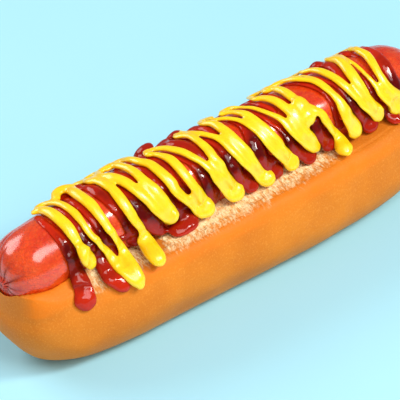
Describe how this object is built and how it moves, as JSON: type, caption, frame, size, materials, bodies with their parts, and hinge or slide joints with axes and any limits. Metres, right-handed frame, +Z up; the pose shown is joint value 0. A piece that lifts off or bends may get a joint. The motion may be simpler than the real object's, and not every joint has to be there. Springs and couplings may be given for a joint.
{
  "type": "hot dog",
  "caption": "Hot dog: a grilled sausage in a soft split bun, with zigzags of ketchup and mustard piped over it.",
  "frame": {"origin": "on the surface it rests on, under the middle of the bun", "axes": "+X along the bun and sausage, -Y towards the side where the sauce hangs down furthest, +Z up"},
  "size_m": [0.1837, 0.057, 0.0566],
  "materials": {
    "crust": "satin baked crust",
    "skin": "satin grilled skin",
    "ketchup": "wet gloss",
    "mustard": "soft gloss"
  },
  "bodies": {
    "root": {"bun": "crust", "sausage": "skin", "ketchup": "ketchup", "mustard": "mustard"}
  },
  "joints": []
}
